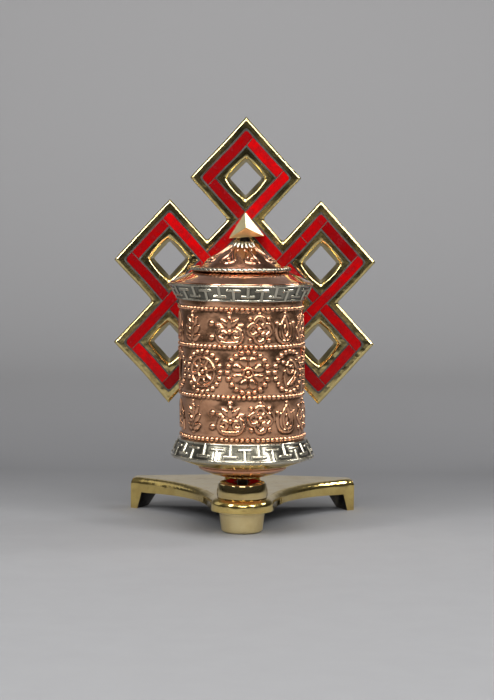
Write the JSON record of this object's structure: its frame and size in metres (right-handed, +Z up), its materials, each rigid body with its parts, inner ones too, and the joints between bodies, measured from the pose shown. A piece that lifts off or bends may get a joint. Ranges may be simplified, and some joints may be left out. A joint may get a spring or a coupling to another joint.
{
  "type": "prayer wheel",
  "caption": "Tabletop wheel: embossed copper drum turning on an upright axle between a brass tripod base and an arm from an endless-knot plate with red inlay.",
  "frame": {"origin": "where the drum's axis meets the table, at the centre of the front foot's underside", "axes": "+Z up along the drum's axis, -Y towards the front, +X to the right seen from the front"},
  "size_m": [0.1232, 0.1089, 0.1896],
  "materials": {
    "cast_brass": "polished cast brass",
    "drum_copper": "polished copper with dark oxide left in the hollows",
    "white_metal": "oxidised white metal, bright on the raised lines",
    "red_stone": "polished red stone",
    "dark_cement": "dull dark grey cement",
    "axle_steel": "darkened steel",
    "core_wood": "plain turned wood",
    "roll_paper": "plain rolled paper",
    "wrap_cloth": "plain yellow cloth"
  },
  "bodies": {
    "stand": {"base_plate": "cast_brass", "front_foot": "cast_brass", "pivot_boss": "cast_brass", "boss_stud": "axle_steel", "knot_plate": "cast_brass", "inlay_cement": "dark_cement", "inlay_rising_upper": "red_stone", "inlay_rising_middle": "red_stone", "inlay_rising_lower": "red_stone", "inlay_falling_upper": "red_stone", "inlay_falling_middle": "red_stone", "inlay_falling_lower": "red_stone", "inlay_side_ends": "red_stone", "inlay_top_loop": "red_stone", "inlay_foot_loop": "red_stone", "knot_screws": "axle_steel", "top_arm": "cast_brass", "arm_washer": "cast_brass", "arm_screw": "axle_steel"},
    "drum": {"axle": "axle_steel", "drum_collar": "cast_brass", "bottom_dish": "drum_copper", "bottom_cone": "cast_brass", "bottom_fret_band": "white_metal", "drum_shell": "drum_copper", "top_fret_band": "white_metal", "shoulder_disc": "drum_copper", "lid_cone": "drum_copper", "lid_rope_rim": "white_metal", "lid_collar": "white_metal", "lid_skirt": "drum_copper", "core_tube": "core_wood", "mantra_roll": "roll_paper", "roll_wrap": "wrap_cloth", "roll_ties": "wrap_cloth"}
  },
  "joints": [
    {"name": "drum_spin", "type": "hinge", "parent": "stand", "child": "drum", "pos_m": [0, 0, 0.0176], "axis": [0, 0, 1], "continuous": true}
  ]
}
